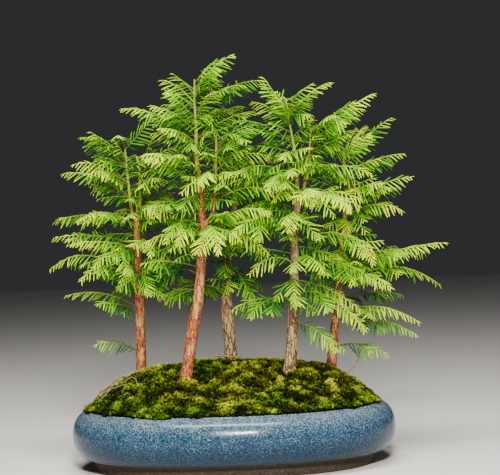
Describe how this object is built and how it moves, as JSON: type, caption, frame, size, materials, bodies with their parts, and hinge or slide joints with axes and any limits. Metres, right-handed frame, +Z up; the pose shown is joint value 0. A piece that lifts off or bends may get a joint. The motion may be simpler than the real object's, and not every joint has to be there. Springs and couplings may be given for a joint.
{
  "type": "bonsai forest in an oval pot",
  "caption": "Group planting of young dawn redwoods with feathery needle sprays on a mossed mound, in an oval speckled blue glazed pot with a ring foot.",
  "frame": {"origin": "on the surface that the pot stands on, below the middle of the whole planting's box; the pot's own centre is 20.5 mm to its left", "axes": "+X to the right along the pot's length, +Y to the back, away from the viewing side, +Z up along the trunks"},
  "size_m": [0.4423, 0.266, 0.455],
  "materials": {
    "speckled_blue_glaze": "glossy opaque stoneware glaze, speckled blue and grey",
    "black_mesh": "matt plastic drainage mesh",
    "anodised_wire": "brown anodised bonsai wire",
    "potting_soil": "damp granular soil, rough",
    "moss": "soft, matt, yellow green with darker hollows",
    "dry_root": "dry, matt, light brown",
    "bark": "reddish brown, flaking to tan and grey low down",
    "needles": "satin, yellow green at the tips to deep green inside"
  },
  "bodies": {
    "root": {"pot": "speckled_blue_glaze", "drain_mesh_left": "black_mesh", "drain_mesh_right": "black_mesh", "staple_left": "anodised_wire", "staple_right": "anodised_wire", "soil": "potting_soil", "moss_crest": "moss", "moss_back": "moss", "moss_left": "moss", "moss_front": "moss", "moss_right": "moss", "dry_root_left": "dry_root", "dry_root_back": "dry_root", "dead_stem_right": "dry_root", "trunk_left": "bark", "trunk_centre": "bark", "trunk_back": "bark", "trunk_right": "bark", "trunk_far_right": "bark", "spray_left_1": "needles", "spray_left_2": "needles", "spray_left_3": "needles", "spray_left_4": "needles", "spray_left_5": "needles", "spray_left_6": "needles", "spray_left_7": "needles", "spray_left_8": "needles", "spray_left_9": "needles", "spray_left_10": "needles", "spray_left_11": "needles", "spray_centre_1": "needles", "spray_centre_2": "needles", "spray_centre_3": "needles", "spray_centre_4": "needles", "spray_centre_5": "needles", "spray_centre_6": "needles", "spray_centre_7": "needles", "spray_centre_8": "needles", "spray_centre_9": "needles", "spray_centre_10": "needles", "spray_centre_11": "needles", "spray_back_1": "needles", "spray_back_2": "needles", "spray_back_3": "needles", "spray_back_4": "needles", "spray_right_1": "needles", "spray_right_2": "needles", "spray_right_3": "needles", "spray_right_4": "needles", "spray_right_5": "needles", "spray_right_6": "needles", "spray_right_7": "needles", "spray_right_8": "needles", "spray_right_9": "needles", "spray_far_right_1": "needles", "spray_far_right_2": "needles", "spray_far_right_3": "needles", "spray_far_right_4": "needles", "spray_far_right_5": "needles", "spray_far_right_6": "needles"}
  },
  "joints": []
}
